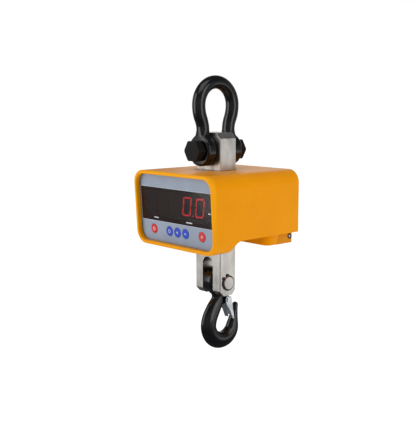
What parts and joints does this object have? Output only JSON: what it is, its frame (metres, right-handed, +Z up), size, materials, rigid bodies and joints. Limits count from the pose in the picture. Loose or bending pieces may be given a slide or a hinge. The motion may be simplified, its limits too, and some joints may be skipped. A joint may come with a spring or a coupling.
{
  "type": "crane scale",
  "caption": "Hanging crane scale: bow shackle, steel load cell block through a yellow housing with a leaning display and push buttons, battery pack, and swinging latched eye hook.",
  "frame": {"origin": "inside top of the shackle bow, where the crane hook carries the scale", "axes": "+Z up along the load line, +X to the right along the display, +Y from the display to the back"},
  "size_m": [0.1872, 0.1889, 0.4461],
  "materials": {
    "black_forging": "thick gloss black enamel on a forging",
    "zinc_steel": "bright zinc plate",
    "spring_steel": "blackened spring steel",
    "nickel_steel": "nickel plated steel with a ground grain",
    "yellow_coat": "gloss amber yellow powder coat",
    "gauge_foil": "foil gauge on film",
    "black_rubber": "matt rubber",
    "panel_film": "grey blue printed polyester film, satin",
    "panel_plate": "plain mill finish",
    "dark_window": "smoked red acrylic",
    "circuit_board": "green solder mask",
    "black_plastic": "moulded black plastic",
    "red_key": "red moulded cap",
    "blue_key": "blue moulded cap",
    "red_lamp": "red diffused lamp",
    "brass": "turned brass",
    "cell_wrap": "shrink wrapped cell"
  },
  "bodies": {
    "shackle": {"shackle_bow": "black_forging", "shackle_bolt": "black_forging", "shackle_nut": "black_forging", "bolt_lock_pin": "zinc_steel"},
    "scale": {"load_cell": "nickel_steel", "gauge_covers": "nickel_steel", "strain_gauges": "gauge_foil", "hook_pin": "nickel_steel", "hook_pin_circlips": "spring_steel", "housing_shell": "yellow_coat", "base_floor": "yellow_coat", "rear_cover": "yellow_coat", "rear_cover_screws": "zinc_steel", "mounting_brackets": "nickel_steel", "bracket_screws": "zinc_steel", "top_seal": "black_rubber", "bottom_seal": "black_rubber", "overlay_film": "panel_film", "front_plate": "panel_plate", "panel_gasket": "black_rubber", "display_window": "dark_window", "display_board": "circuit_board", "status_led": "red_lamp", "tact_switches": "black_plastic", "key_board": "circuit_board", "board_spacers": "brass", "main_board": "circuit_board", "board_parts": "black_plastic", "main_board_posts": "brass", "signal_cable": "black_rubber", "battery_nose": "yellow_coat", "battery_rails": "panel_plate", "battery_contacts": "brass", "led_digit_1": "black_plastic", "led_digit_2": "black_plastic", "led_digit_3": "black_plastic", "led_digit_4": "black_plastic", "led_digit_5": "black_plastic"},
    "hook": {"hook": "black_forging", "latch_pin": "zinc_steel"},
    "latch": {"hook_latch": "zinc_steel", "latch_spring": "spring_steel"},
    "battery": {"battery_pack": "yellow_coat", "battery_cells": "cell_wrap", "charge_socket": "black_plastic"},
    "button_1": {"key_1": "red_key"},
    "button_2": {"key_2": "blue_key"},
    "button_3": {"key_3": "blue_key"},
    "button_4": {"key_4": "blue_key"},
    "button_5": {"key_5": "red_key"}
  },
  "joints": [
    {"name": "shackle_swing", "type": "hinge", "parent": "shackle", "child": "scale", "pos_m": [0, 0, -0.0963], "axis": [0, 1, 0], "range_deg": [-90, 90]},
    {"name": "hook_swing", "type": "hinge", "parent": "scale", "child": "hook", "pos_m": [0, 0, -0.3081], "axis": [1, 0, 0], "range_deg": [-75, 75]},
    {"name": "hook_latch_turn", "type": "hinge", "parent": "hook", "child": "latch", "pos_m": [0, 0.0205, -0.3433], "axis": [1, 0, 0], "range_deg": [-36, 0], "stiffness_Nm_per_rad": 0.25, "springref_deg": 20.05, "deforming": ["latch_spring"]},
    {"name": "battery_slide", "type": "slide", "parent": "scale", "child": "battery", "axis": [0, 1, 0], "range_m": [0, 0.06]},
    {"name": "key_1_press", "type": "slide", "parent": "scale", "child": "button_1", "axis": [0, 0.9982, 0.0599], "range_m": [0, 0.0005], "stiffness_N_per_m": 3000, "springref_m": -0.0001},
    {"name": "key_2_press", "type": "slide", "parent": "scale", "child": "button_2", "axis": [0, 0.9982, 0.0599], "range_m": [0, 0.0005], "stiffness_N_per_m": 3000, "springref_m": -0.0001},
    {"name": "key_3_press", "type": "slide", "parent": "scale", "child": "button_3", "axis": [0, 0.9982, 0.0599], "range_m": [0, 0.0005], "stiffness_N_per_m": 3000, "springref_m": -0.0001},
    {"name": "key_4_press", "type": "slide", "parent": "scale", "child": "button_4", "axis": [0, 0.9982, 0.0599], "range_m": [0, 0.0005], "stiffness_N_per_m": 3000, "springref_m": -0.0001},
    {"name": "key_5_press", "type": "slide", "parent": "scale", "child": "button_5", "axis": [0, 0.9982, 0.0599], "range_m": [0, 0.0005], "stiffness_N_per_m": 3000, "springref_m": -0.0001}
  ]
}
